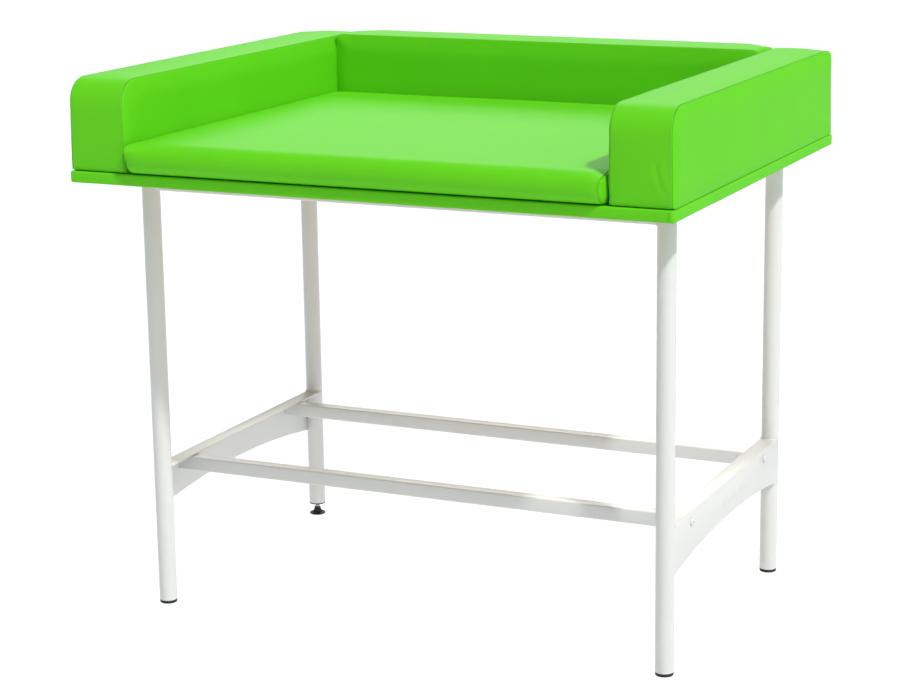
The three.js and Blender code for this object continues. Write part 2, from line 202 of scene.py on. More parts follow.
# Injection-moulded black polyamide from a spark-eroded tool: a fine even texture, dull gloss
polyamideLook = {
    "tones": ("#121314", "#1D1E20"),
    "spark": 0.9,      # mm, the tool's real texture is finer and drawn coarser so that it shows
    "depth": 0.05,
    "bump": 0.5,
    "gloss": (0.42, 0.56),
}
polyamide = patternedMaterial("polyamideMouldedBlack", polyamideLook, {"IOR": 1.53, "Metallic": 0},
                              "ShaderNodeTexNoise", {"Scale": 1 / (polyamideLook["spark"] * mm), "Detail": 3})

# Electro-plated zinc, clear passivated: bluish grey metal, a little cloudy
zincLook = {
    "tones": ("#A3A6AB", "#C9CCCF"),
    "crystal": 1.6,    # mm, coarser than real plating so that it shows
    "gloss": (0.26, 0.44),
}
zinc = patternedMaterial("steelZincPlated", zincLook, {"Metallic": 1},
                         "ShaderNodeTexVoronoi", {"Scale": 1 / (zincLook["crystal"] * mm)}, "Distance")

# Sanded birch plywood: pale, long grain along the board, dry surface
plywoodLook = {
    "tones": ("#B48A58", "#D9BC8C"),
    "ringWidth": 7,
    "stretch": 14,     # the grain is this much longer along X
    "depth": 0.1,
    "bump": 0.4,
    "gloss": (0.62, 0.74),
}
plywood = patternedMaterial(
    "birchPlywoodSanded", plywoodLook, {"IOR": 1.5, "Metallic": 0}, "ShaderNodeTexNoise",
    {"Scale": 1 / (plywoodLook["ringWidth"] * mm), "Detail": 6, "Roughness": 0.6, "Distortion": 0.6})

# Cut polyurethane foam: matt, pale yellow, with darker walls between its open cells
foamLook = {"tones": ("#EBE3C6", "#CFC39B"), "cell": 1.5, "depth": 0.5, "bump": 0.8}
foam = patternedMaterial("polyurethaneFoamCut", foamLook, {"Roughness": 0.95, "IOR": 1.45},
                         "ShaderNodeTexVoronoi", {"Scale": 1 / (foamLook["cell"] * mm)}, "Distance")

# Rolled matt floor paint: pale, almost even
floorLook = {"tones": ("#F0F2F5", "#F3F5F8"), "cloud": 900}
floorPaint = patternedMaterial(
    "floorPaintMatt", floorLook, {"Roughness": 0.75, "IOR": 1.45, "Specular IOR Level": 0.2},
    "ShaderNodeTexNoise", {"Scale": 1 / (floorLook["cloud"] * mm), "Detail": 4})
report("materials made")


def newPiece(name, bm, material, body, replaced=()):
    mesh = bpy.data.meshes.new(name)
    bm.to_mesh(mesh)
    bm.free()
    mesh.materials.append(material)
    piece = bpy.data.objects.new(name, mesh)
    scene.collection.objects.link(piece)
    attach(piece, body)
    if replaced:
        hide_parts(*replaced)
    return piece


def applyModifiers(piece):
    bpy.context.view_layer.update()
    depsgraph = bpy.context.evaluated_depsgraph_get()
    mesh = bpy.data.meshes.new_from_object(piece.evaluated_get(depsgraph), preserve_all_data_layers=True,
                                           depsgraph=depsgraph)
    piece.modifiers.clear()
    old = piece.data
    piece.data = mesh
    bpy.data.meshes.remove(old)
    mesh.name = piece.name


def smoothShade(piece, angle=35):
    mesh = piece.data
    mesh.shade_smooth()
    mesh.set_sharp_from_angle(angle=math.radians(angle))


def arc(centre, radius, start, stop, steps):
    # points of an arc in the plane of the outline, angles in degrees
    angles = [math.radians(start + (stop - start) * i / steps) for i in range(steps + 1)]
    return [(centre[0] + radius * math.cos(a), centre[1] + radius * math.sin(a)) for a in angles]


def turnedPiece(outline, centre, steps, closed=False):
    # an outline of radius and height in mm, spun about an upright line through centre
    bm = bmesh.new()
    points = [bm.verts.new((radius * mm, 0, height * mm)) for radius, height in outline]
    following = points[1:] + points[:1] if closed else points[1:]
    edges = [bm.edges.new(pair) for pair in zip(points, following)]
    bmesh.ops.spin(bm, geom=points + edges, cent=(0, 0, 0), axis=(0, 0, 1), angle=2 * math.pi, steps=steps,
                   use_merge=True)
    bmesh.ops.remove_doubles(bm, verts=bm.verts[:], dist=1e-6)
    bmesh.ops.recalc_face_normals(bm, faces=bm.faces[:])
    bmesh.ops.translate(bm, verts=bm.verts[:], vec=(centre.x, centre.y, 0))
    return bm


def block(low, high):
    bm = bmesh.new()
    bmesh.ops.create_cube(bm, size=1)
    bmesh.ops.scale(bm, verts=bm.verts[:], vec=high - low)
    bmesh.ops.translate(bm, verts=bm.verts[:], vec=(low + high) / 2)
    return bm


def roundEdges(bm, edges, offset, segments):
    bmesh.ops.bevel(bm, geom=edges, offset=offset * mm, offset_type="OFFSET", segments=segments,
                    profile=0.5, affect="EDGES", material=-1)


def addShape(bm, shape):
    # moves a finished shape into a mesh of several
    mesh = bpy.data.meshes.new("shape")
    shape.to_mesh(mesh)
    shape.free()
    bm.from_mesh(mesh)
    bpy.data.meshes.remove(mesh)


def cutAcross(bm, place, normal):
    bmesh.ops.bisect_plane(bm, geom=bm.verts[:] + bm.edges[:] + bm.faces[:], dist=1e-7,
                           plane_co=place, plane_no=normal)


def edgesAlong(bm, axis):
    found = []
    for edge in bm.edges:
        run = edge.verts[1].co - edge.verts[0].co
        if abs(run[axis]) > 0.9999 * run.length:
            found.append(edge)
    return found


def squareTube(low, high, axis, setup):
    # a rolled square tube: rounded long edges, open ends, and a wall
    bm = block(low, high)
    endFaces = [face for face in bm.faces if abs(face.normal[axis]) > 0.9]
    bmesh.ops.delete(bm, geom=endFaces, context="FACES")
    roundEdges(bm, edgesAlong(bm, axis), setup["railCorner"], setup["cornerSteps"])
    bmesh.ops.solidify(bm, geom=bm.faces[:], thickness=setup["wall"] * mm)
    bmesh.ops.recalc_face_normals(bm, faces=bm.faces[:])
    return bm


cameraPlace = {
    "lens": 93.3,
    "sensor": 36,
    "farthest": 200,   # metres
    "shift": (-0.0889, -0.0333),
    "place": (1.7339, -3.7635, 1.4544),
    "turn": 23.194,    # degrees about the upright, then down, then round the view
    "down": 12.846,
    "roll": -0.402,
}


def makeCamera(place):
    data = bpy.data.cameras.new("camera")
    data.lens = place["lens"]
    data.sensor_width = place["sensor"]
    data.shift_x, data.shift_y = place["shift"]
    data.clip_end = place["farthest"]
    camera = bpy.data.objects.new("camera", data)
    scene.collection.objects.link(camera)
    turn = Matrix.Rotation(math.radians(place["turn"]), 4, "Z")
    down = Matrix.Rotation(math.radians(90 - place["down"]), 4, "X")
    roll = Matrix.Rotation(math.radians(place["roll"]), 4, "Z")
    camera.matrix_world = Matrix.Translation(place["place"]) @ turn @ down @ roll
    scene.camera = camera


studio = {
    "floorHalf": 60,               # metres
    "floorDrop": 25.2,             # mm, the feet's travel: a foot that is screwed out stays in sight
    # direction that each lamp shines from, its strength, and its spread in degrees
    "floorWash": ((0, 0, 1), 2.85, 10),
    "tableLamps": {
        "keyLight": ((0.63, -0.32, 1.0), 2.5, 3),
        "sideLight": ((1.0, 0.0, 0.25), 0.62, 70),
        "topLight": ((0.0, 0.0, 1.0), 0.2, 70),
        "frontLight": ((0.2, -1.0, 0.9), 0.32, 50),
        "backLight": ((-0.4, 0.9, 0.6), 0.85, 30),
    },
    "horizon": "#808182",
    "zenith": "#9C9C9D",
    "glowHeight": 0.6,             # how far up the horizon's tone reaches, 1 is overhead
    "skyStrength": 1.0,
}


def sunLamp(name, direction, strength, spread):
    data = bpy.data.lights.new(name, "SUN")
    data.energy = strength
    data.angle = math.radians(spread)
    lamp = bpy.data.objects.new(name, data)
    lamp.rotation_euler = Vector(direction).to_track_quat("Z", "Y").to_euler()
    scene.collection.objects.link(lamp)
    return lamp


def makeStudio(setup):
    bm = bmesh.new()
    bmesh.ops.create_grid(bm, x_segments=8, y_segments=8, size=setup["floorHalf"])
    bmesh.ops.translate(bm, verts=bm.verts[:], vec=(0, 0, -setup["floorDrop"] * mm))
    mesh = bpy.data.meshes.new("floor")
    bm.to_mesh(mesh)
    bm.free()
    mesh.materials.append(floorPaint)
    floor = bpy.data.objects.new("floor", mesh)
    scene.collection.objects.link(floor)

    # the floor has a lamp of its own, so that it stays an even white under the table
    notFloor = bpy.data.collections.new("allButFloor")
    notFloor.objects.link(floor)
    notFloor.collection_objects[0].light_linking.link_state = "EXCLUDE"
    for name, lampSetup in setup["tableLamps"].items():
        lamp = sunLamp(name, *lampSetup)
        lamp.light_linking.receiver_collection = notFloor
    wash = sunLamp("floorWash", *setup["floorWash"])
    wash.data.use_shadow = False
    onlyFloor = bpy.data.collections.new("washReaches")
    onlyFloor.objects.link(floor)
    wash.light_linking.receiver_collection = onlyFloor

    # an even grey room, a little brighter overhead
    world = bpy.data.worlds.new("studio")
    scene.world = world
    world.use_nodes = True
    tree = world.node_tree
    tree.nodes.clear()
    direction = addNode(tree, "ShaderNodeTexCoord")
    split = addNode(tree, "ShaderNodeSeparateXYZ", links={0: direction.outputs["Generated"]})
    height = addNode(tree, "ShaderNodeMapRange",
                     {"interpolation_type": "SMOOTHSTEP", 1: 0, 2: setup["glowHeight"]},
                     {0: split.outputs["Z"]})
    colour = addNode(tree, "ShaderNodeMix",
                     {"data_type": "RGBA", 6: toLinear(setup["horizon"]), 7: toLinear(setup["zenith"])},
                     {0: height.outputs[0]})
    glow = addNode(tree, "ShaderNodeBackground", {"Strength": setup["skyStrength"]},
                   {"Color": colour.outputs[2]})
    addNode(tree, "ShaderNodeOutputWorld", links={"Surface": glow.outputs[0]})
    scene.view_settings.view_transform = "Standard"


makeCamera(cameraPlace)
makeStudio(studio)
report("camera, floor and light placed")


# the nodes that keep their CAD shape only get a finish, by the start of their name
nodeFinish = {
    "mount_plate": powderCoat,
    "rail_nut": zinc,
    "board_screw": zinc,
    "bolster_screw": zinc,
    "board_panel": plywood,
    "bolster_left_slat": plywood,
    "bolster_right_slat": plywood,
    "bolster_back_slat": plywood,
    "bolster_left_foam": foam,
    "bolster_right_foam": foam,
    "bolster_back_foam": foam,
    "pad_foam": foam,
}
for nodeName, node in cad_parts.items():
    for start, finish in nodeFinish.items():
        if nodeName.startswith(start):
            node.data.materials.clear()
            node.data.materials.append(finish)
report("carried-over pieces finished")


tube = {
    "wall": 2,
    "lip": 0.5,
    "lipSteps": 3,
    "steps": 72,
    "railCorner": 2.6,
    "cornerSteps": 5,
}
upperRails = {"upper_rail_front": 0, "upper_rail_back": 0, "upper_rail_left": 1, "upper_rail_right": 1}


def legTubes(setup):
    for leg in legNames:
        low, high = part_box("leg_" + leg)
        outer = (high.x - low.x) / 2 / mm
        inner = outer - setup["wall"]
        lip = setup["lip"]
        bottom, top = low.z / mm, high.z / mm
        turns = setup["lipSteps"]
        outline = arc((outer - lip, bottom + lip), lip, -90, 0, turns)
        outline += arc((outer - lip, top - lip), lip, 0, 90, turns)
        outline += arc((inner + lip, top - lip), lip, 90, 180, turns)
        outline += arc((inner + lip, bottom + lip), lip, 180, 270, turns)
        bm = turnedPiece(outline, (low + high) / 2, setup["steps"], closed=True)
        piece = newPiece("leg_tube_" + leg, bm, powderCoat, "frame", ["leg_" + leg])
        smoothShade(piece)


def railTubes(setup):
    # each rail runs along X (0) or Y (1)
    for name, axis in (upperRails | {"cross_rail_front": 0, "cross_rail_back": 0}).items():
        low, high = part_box(name)
        bm = squareTube(low, high, axis, setup)
        piece = newPiece(name + "_tube", bm, powderCoat, "frame", [name])
        smoothShade(piece)


legTubes(tube)
railTubes(tube)
report("legs and rails made")


# side stretchers: one laser-cut sheet each, folded along the top
stretcher = {
    "sheet": 3,
    "bend": 4.5,        # outside radius of the fold
    "bendSteps": 6,
    "flange": 32,
    "endGap": 1,        # from each end to the leg's middle line
    "depthEnd": 84,
    "depthMiddle": 62,
    "archSteps": 56,
    "edge": 0.4,
    "sharp": 50,        # degrees, from where an edge is rounded
}
pressedBar = {
    "count": 13,        # a row of short raised bars on each web
    "pitch": 15,
    "length": 13,
    "width": 3.4,
    "raise": 0.7,
    "sunk": 0.4,
    "round": 0.45,
    "lean": 14,         # degrees: one bar to one side, then two to the other
    "drop": 33,         # from the top to the bars' middle
    "endSteps": 16,
}


def closedLoop(bm, points, x):
    verts = [bm.verts.new((x, y, z)) for y, z in points]
    for pair in zip(verts, verts[1:] + verts[:1]):
        bm.edges.new(pair)
    return verts


def sideStretcher(side, setup):
    node = "side_stretcher_" + side
    sign = sides[side]
    low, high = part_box(node)
    outerX = high.x if sign > 0 else low.x
    top = high.z
    middleY = (low.y + high.y) / 2
    half = middleOf("leg_back_" + side).y - middleY - setup["endGap"] * mm
    rise = (setup["depthEnd"] - setup["depthMiddle"]) * mm
    archRadius = (half * half + rise * rise) / (2 * rise)
    archCentre = top - setup["depthMiddle"] * mm - archRadius
    spread = math.degrees(math.asin(half / archRadius))
    bend = setup["bend"] * mm
    bm = bmesh.new()
    outline = arc((middleY, archCentre), archRadius, 90 - spread, 90 + spread, setup["archSteps"])
    outline += [(middleY - half, top - bend), (middleY + half, top - bend)]
    verts = closedLoop(bm, outline, outerX)
    foldVerts = verts[-2:]
    bmesh.ops.triangle_fill(bm, use_beauty=True, edges=bm.edges[:], normal=(sign, 0, 0))
    foldEdge = bm.edges.get(foldVerts)
    spun = bmesh.ops.spin(bm, geom=foldVerts + [foldEdge], cent=(outerX - sign * bend, 0, top - bend),
                          axis=(0, 1, 0), angle=-sign * math.pi / 2, steps=setup["bendSteps"])
    last = [item for item in spun["geom_last"] if isinstance(item, bmesh.types.BMEdge)]
    flange = bmesh.ops.extrude_edge_only(bm, edges=last)
    flangeVerts = [item for item in flange["geom"] if isinstance(item, bmesh.types.BMVert)]
    bmesh.ops.translate(bm, verts=flangeVerts, vec=(-sign * (setup["flange"] * mm - bend), 0, 0))
    bmesh.ops.recalc_face_normals(bm, faces=bm.faces[:])
    webFace = min(bm.faces, key=lambda face: face.calc_center_median().z)
    if webFace.normal.x * sign < 0:
        bmesh.ops.reverse_faces(bm, faces=bm.faces[:])
    piece = newPiece(node + "_sheet", bm, powderCoat, "frame", [node])
    wall = piece.modifiers.new("sheet", "SOLIDIFY")
    wall.thickness = setup["sheet"] * mm
    wall.offset = -1
    wall.use_even_offset = True
    edge = piece.modifiers.new("edge", "BEVEL")
    edge.width = setup["edge"] * mm
    edge.segments = 2
    edge.limit_method = "ANGLE"
    edge.angle_limit = math.radians(setup["sharp"])
    applyModifiers(piece)
    smoothShade(piece)


def pressedBars(side, setup):
    sign = sides[side]
    low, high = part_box("side_stretcher_" + side)
    face = high.x if sign > 0 else low.x
    middleY = (low.y + high.y) / 2
    bm = bmesh.new()
    for index in range(setup["count"]):
        bar = bmesh.new()
        bmesh.ops.create_circle(bar, cap_ends=True, segments=setup["endSteps"],
                                radius=setup["width"] / 2 * mm)
        reach = (setup["length"] - setup["width"]) / 2 * mm
        for vert in bar.verts:
            vert.co.y += math.copysign(reach, vert.co.y)
        raised = bmesh.ops.extrude_face_region(bar, geom=bar.faces[:])
        top = [item for item in raised["geom"] if isinstance(item, bmesh.types.BMVert)]
        bmesh.ops.translate(bar, verts=top, vec=(0, 0, (setup["raise"] + setup["sunk"]) * mm))
        rim = [edge for edge in bar.edges if all(vert in top for vert in edge.verts)]
        roundEdges(bar, rim, setup["round"], 3)
        bmesh.ops.recalc_face_normals(bar, faces=bar.faces[:])
        lean = Matrix.Rotation(math.radians(setup["lean"] if index % 3 else -setup["lean"]), 4, "X")
        stand = Matrix.Rotation(sign * math.pi / 2, 4, "Y") @ Matrix.Rotation(math.pi / 2, 4, "Z")
        y = middleY + (index - (setup["count"] - 1) / 2) * setup["pitch"] * mm
        place = Matrix.Translation((face - sign * setup["sunk"] * mm, y, high.z - setup["drop"] * mm))
        bmesh.ops.transform(bar, matrix=place @ lean @ stand, verts=bar.verts[:])
        addShape(bm, bar)
    piece = newPiece("pressed_bars_" + side, bm, powderCoat, "frame")
    smoothShade(piece, 40)


for side in sides:
    sideStretcher(side, stretcher)
    pressedBars(side, pressedBar)
report("side stretchers made")


# weld beads where rails and stretchers meet the legs
weld = {
    "bead": 1.7,
    "ripple": 0.25,
    "rippleTurn": 2.1,   # radians from one point of the bead to the next
    "step": 2.2,
    "halfRound": 22,     # steps round half a leg
    "webSteps": 34,
    "footGap": 3,        # where the web's bead starts above the web's foot
    "topGap": 6,
}


def weldBeads(setup):
    bm = bmesh.new()
    low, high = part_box("leg_front_right")
    radius = (high.x - low.x) / 2

    def bead(points, closed):
        curve = bpy.data.curves.new("bead", "CURVE")
        curve.dimensions = "3D"
        curve.bevel_depth = setup["bead"] * mm
        curve.bevel_resolution = 2
        curve.use_fill_caps = True
        spline = curve.splines.new("POLY")
        spline.points.add(len(points) - 1)
        for index, point in enumerate(points):
            spline.points[index].co = (*point, 1)
            spline.points[index].radius = 1 + setup["ripple"] * math.sin(index * setup["rippleTurn"])
        spline.use_cyclic_u = closed
        holder = bpy.data.objects.new("bead", curve)
        mesh = bpy.data.meshes.new_from_object(holder)
        bm.from_mesh(mesh)
        bpy.data.objects.remove(holder)
        bpy.data.curves.remove(curve)
        bpy.data.meshes.remove(mesh)

    def roundSection(halfAcross, zLow, zHigh):
        corners = [(-halfAcross, zLow), (halfAcross, zLow), (halfAcross, zHigh), (-halfAcross, zHigh)]
        points = []
        for first, second in zip(corners, corners[1:] + corners[:1]):
            run = Vector(second) - Vector(first)
            count = max(2, round(run.length / (setup["step"] * mm)))
            points += [Vector(first) + run * i / count for i in range(count)]
        return points

    for name, axis in upperRails.items():
        low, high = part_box(name)
        middle = (low + high) / 2
        across = 1 - axis
        for leg in legNames:
            centre = middleOf("leg_" + leg)
            if abs(centre[across] - middle[across]) > radius:
                continue
            inward = 1 if centre[axis] < middle[axis] else -1
            path = []
            halfAcross = (high[across] - low[across]) / 2
            for offset, z in roundSection(halfAcross, low.z, high.z - setup["bead"] * mm):
                point = Vector((0, 0, z))
                point[across] = centre[across] + offset
                point[axis] = centre[axis] + inward * math.sqrt(radius ** 2 - offset ** 2)
                path.append(point)
            bead(path, True)
    for side, sign in sides.items():
        low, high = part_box("side_stretcher_" + side)
        for end, way in ends.items():
            centre = middleOf("leg_" + end + "_" + side)
            flangeRun = []
            for index in range(1, setup["halfRound"]):
                turn = math.pi * index / setup["halfRound"]
                flangeRun.append(Vector((centre.x + radius * math.cos(turn),
                                         centre.y - way * radius * math.sin(turn), high.z)))
            bead(flangeRun, False)
            webInner = radius - stretcher["sheet"] * mm
            y = centre.y - way * math.sqrt(radius ** 2 - webInner ** 2)
            start = high.z - stretcher["depthEnd"] * mm + setup["footGap"] * mm
            rise = high.z - setup["topGap"] * mm - start
            webRun = [Vector((centre.x + sign * webInner, y, start + rise * i / setup["webSteps"]))
                      for i in range(setup["webSteps"] + 1)]
            bead(webRun, False)
    piece = newPiece("weld_beads", bm, powderCoat, "frame")
    smoothShade(piece, 60)


weldBeads(weld)
report("weld beads made")


# bolts with domed heads and a hexagon socket
bolt = {
    "radius": 7,
    "height": 4.2,
    "rim": 0.5,
    "dome": ((0.93, 0.42), (0.82, 0.68), (0.66, 0.88), (0.54, 0.97)),   # shares of radius and height
    "socket": 2.6,
    "socketDepth": 2.4,
    "socketCone": 0.7,
    "chamfer": 0.15,
    "steps": 36,
}


def boltHead(node, outward, setup):
    centre = middleOf(node)
    low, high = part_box(node)
    face = high.x - setup["height"] * mm if outward > 0 else low.x + setup["height"] * mm
    top = setup["height"]
    socket = setup["socket"]
    rim = setup["rim"]
    depth = top - setup["socketDepth"]
    outline = [(setup["radius"] - rim, 0)] + arc((setup["radius"] - rim, 0.7), rim, -60, 20, 3)
    outline += [(setup["radius"] * wide, top * tall) for wide, tall in setup["dome"]]
    outline += [(socket + rim, top), (socket, top - setup["chamfer"])]
    outline += [(socket, depth), (0, depth - setup["socketCone"])]
    bm = turnedPiece(outline, Vector((0, 0, 0)), setup["steps"])
    # the round socket becomes a hexagon
    for vert in bm.verts:
        reach = math.hypot(vert.co.x, vert.co.y)
        if 0.1 * mm < reach < (socket + 0.1) * mm:
            turn = math.atan2(vert.co.y, vert.co.x) % (math.pi / 3) - math.pi / 6
            flat = socket * mm * math.cos(math.pi / 6) / math.cos(turn)
            vert.co.x *= flat / reach
            vert.co.y *= flat / reach
    bmesh.ops.holes_fill(bm, edges=[edge for edge in bm.edges if edge.is_boundary], sides=0)
    bmesh.ops.recalc_face_normals(bm, faces=bm.faces[:])
    bmesh.ops.rotate(bm, verts=bm.verts[:], matrix=Matrix.Rotation(outward * math.pi / 2, 3, "Y"))
    bmesh.ops.translate(bm, verts=bm.verts[:], vec=(face, centre.y, centre.z))
    piece = newPiece(node + "_head", bm, powderCoat, "frame", [node])
    smoothShade(piece, 30)


for end in ends:
    for side, sign in sides.items():
        boltHead("rail_bolt_" + end + "_" + side, sign, bolt)
report("bolts made")


# levelling feet: a tube plug, a threaded stud and a bell-shaped sole
foot = {
    "plugRim": 2,
    "plugFit": 0.3,
    # radius and height of the hollow that takes the bell, from the bore to the rim
    "hollow": ((0, 12), (7.1, 12), (7.1, 8), (7.6, 5.8), (8.7, 3.8), (11.3, 1.4), (14.7, 0.2)),
    "bore": 4.1,
    "rimTop": 3.4,
    # radius and height above the sole's rim of the bell's flank
    "flank": ((12.6, 0.45), (11.0, 1.0), (9.6, 1.9), (8.5, 3.0), (7.7, 4.3), (7.1, 6.0), (6.6, 7.8),
              (6.4, 8.6)),
    "neckTop": 14.4,
    "crest": 3.95,      # M8 thread
    "root": 3.3,
    "pitch": 1.25,
    "tooth": ((0, 0), (0, 0.12), (1, 0.44), (1, 0.56), (0, 0.88), (0, 1)),   # shares of depth and pitch
    "threadStart": 0.4,
    "threadSteps": 20,  # to a turn
    "steps": 64,
}


def legPlug(leg, setup):
    low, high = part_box("leg_plug_" + leg)
    outer = (high.x - low.x) / 2 / mm
    bottom = low.z / mm
    rim = bottom + setup["plugRim"]
    inside = outer - tube["wall"] - setup["plugFit"]
    top = high.z / mm
    outline = [(radius, bottom + height) for radius, height in setup["hollow"]]
    outline += arc((outer - 0.7, bottom + 0.7), 0.7, -90, 0, 4)
    outline += arc((outer - 0.4, rim - 0.4), 0.4, 0, 90, 3)
    outline += [(inside, rim), (inside, top - 2), (inside - 1.5, top)]
    outline += [(setup["bore"], top), (setup["bore"], top - 1), (0, top - 1)]
    bm = turnedPiece(outline, (low + high) / 2, setup["steps"])
    piece = newPiece("tube_plug_" + leg, bm, polyamide, "frame", ["leg_plug_" + leg])
    smoothShade(piece, 32)


def bellFoot(leg, setup):
    node = "foot_glide_" + leg
    low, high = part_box(node)
    rim = setup["rimTop"]
    neck = setup["neckTop"]
    outline = [(0, 0.4), (11.5, 0.4), (12.0, 0)] + arc((14.1, 1.6), 1.6, -90, 10, 6)
    outline += [(15.5, 2.6), (15.2, 3.0), (14.4, rim)]
    outline += [(radius, rim + height) for radius, height in setup["flank"]]
    outline += arc((5.9, neck - 0.5), 0.5, 0, 90, 3) + [(3.4, neck), (3.4, neck - 1), (0, neck - 1)]
    bm = turnedPiece(outline, (low + high) / 2, setup["steps"])
    piece = newPiece("bell_foot_" + leg, bm, polyamide, "foot_" + leg, [node])
    smoothShade(piece, 40)


def threadedStud(leg, setup):
    node = "foot_stud_" + leg
    low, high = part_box(node)
    centre = (low + high) / 2
    pitch = setup["pitch"] * mm
    root = setup["root"] * mm
    depth = setup["crest"] * mm - root
    turns = int((high.z - low.z - 2 * pitch) / pitch)
    bm = bmesh.new()
    points = [bm.verts.new((root + out * depth, 0, up * pitch)) for out, up in setup["tooth"]]
    edges = [bm.edges.new(pair) for pair in zip(points, points[1:])]
    steps = setup["threadSteps"]
    bmesh.ops.spin(bm, geom=points + edges, cent=(0, 0, 0), axis=(0, 0, 1), angle=2 * math.pi * turns,
                   steps=steps * turns, dvec=(0, 0, pitch / steps))
    bmesh.ops.remove_doubles(bm, verts=bm.verts[:], dist=0.02 * mm)
    bmesh.ops.holes_fill(bm, edges=[edge for edge in bm.edges if edge.is_boundary], sides=0)
    bmesh.ops.recalc_face_normals(bm, faces=bm.faces[:])
    start = low.z + setup["threadStart"] * mm
    bmesh.ops.translate(bm, verts=bm.verts[:], vec=(centre.x, centre.y, start))
    piece = newPiece("threaded_stud_" + leg, bm, zinc, "foot_" + leg, [node])
    smoothShade(piece, 30)


for leg in legNames:
    legPlug(leg, foot)
    bellFoot(leg, foot)
    threadedStud(leg, foot)
report("levelling feet made")


def smoothStep(value, start, stop):
    share = min(max((value - start) / (stop - start), 0), 1)
    return share * share * (3 - 2 * share)


# a soft piece is a block with a rounded outline and soft sewn edges, puffed by a cloth simulation
def cornerRadius(y, z, setup):
    front, back = setup["cornersFront"], setup["cornersBack"]
    return (front if y < 0 else back)[0 if z > 0 else 1] * mm


def outlineDepth(y, z, half, radius):
    # how far inside the rounded outline a point is, and which way is out
    qy, qz = abs(y) - half.y + radius, abs(z) - half.z + radius
    if qy > 0 and qz > 0:
        reach = math.hypot(qy, qz)
        out = (qy / reach, qz / reach)
        depth = radius - reach
    elif qy > qz:
        out, depth = (1, 0), radius - qy
    else:
        out, depth = (0, 1), radius - qz
    return depth, math.copysign(out[0], y), math.copysign(out[1], z)


def edgeSoftness(z, outY, half, setup):
    # the sewn edge has a radius of its own along the top, down the front and where the piece rests
    lift = smoothStep(z + half.z, 0, setup["bottomReach"] * mm)
    soft = setup["edgeBottom"] + (setup["edge"] - setup["edgeBottom"]) * lift
    below = smoothStep(half.z - z, setup["frontReach"][0] * mm, setup["frontReach"][1] * mm)
    return (soft + (setup["edgeFront"] - soft) * max(-outY, 0) * below) * mm


def shapeBlock(bm, half, setup):
    # rounds the block's outline in Y and Z, then its sewn edges. "across" keeps each point's
    # distance past the sewn edge: over 0 on the band, under 0 on the side panels.
    across = bm.verts.layers.float.new("across")
    for vert in bm.verts:
        x, y, z = vert.co
        radius = cornerRadius(y, z, setup)
        qy, qz = abs(y) - half.y + radius, abs(z) - half.z + radius
        if qy > 0 and qz > 0:
            shrink = max(qy, qz) / math.hypot(qy, qz)
            y = math.copysign(half.y - radius + qy * shrink, y)
            z = math.copysign(half.z - radius + qz * shrink, z)
        depth, outY, outZ = outlineDepth(y, z, half, radius)
        aside = half.x - abs(x)
        vert[across] = (aside - depth) / mm
        soft = edgeSoftness(z, outY, half, setup)
        share = (depth - aside) / soft
        if -1 < share < 1:
            angle = math.pi / 4 * (1 + share)
            x = math.copysign(half.x - soft * (1 - math.sin(angle)), x)
            inward = soft * (1 - math.cos(angle)) - depth
            y -= outY * inward
            z -= outZ * inward
        vert.co = (x, y, z)


def softBlock(name, low, high, setup, body, replaced):
    # the length runs along Y here: a turned piece is turned into place at the end of its making
    size = high - low
    if setup["turned"]:
        size = Vector((size.y, size.x, size.z))
    inset = Vector(setup["inset"]) * mm
    half = size / 2 - inset
    bm = bmesh.new()
    bmesh.ops.create_cube(bm, size=1)
    bmesh.ops.scale(bm, verts=bm.verts[:], vec=half * 2)
    for axis in range(3):
        cuts = round(2 * half[axis] / (setup["mesh"] * mm)) - 1
        bmesh.ops.subdivide_edges(bm, edges=edgesAlong(bm, axis), cuts=cuts, use_grid_fill=True)
    for side in (-1, 1):
        for distance in setup["seamLoops"]:
            cutAcross(bm, (side * (half.x - distance * mm), 0, 0), (1, 0, 0))
    bmesh.ops.remove_doubles(bm, verts=bm.verts[:], dist=1e-6)
    shapeBlock(bm, half, setup)
    for vert in bm.verts:
        vert.co.x *= 1 + setup["flare"] * mm / half.x * (half.z - vert.co.z) / (2 * half.z)
    bmesh.ops.recalc_face_normals(bm, faces=bm.faces[:])
    if setup["turned"]:
        bmesh.ops.rotate(bm, verts=bm.verts[:], matrix=Matrix.Rotation(-math.pi / 2, 3, "Z"))
    middle = (low + high) / 2
    middle.z = low.z + half.z + setup["rest"] * mm
    middle.y -= setup["forward"] * mm
    bmesh.ops.translate(bm, verts=bm.verts[:], vec=middle)
    piece = newPiece(name, bm, leatherette, body, [replaced])
    piece["fillHalf"] = half
    piece["fillMiddle"] = middle
    return piece


cloth = {
    "frames": 20,
    "pressure": 4.0,
    "mass": 0.35,
    "tension": 25,
    "bending": 2.0,
    "quality": 5,
    "heldFoot": 3,      # mm above the foot that stay where they are
    "heldSeam": 1.2,    # mm to each side of the sewn edge
}


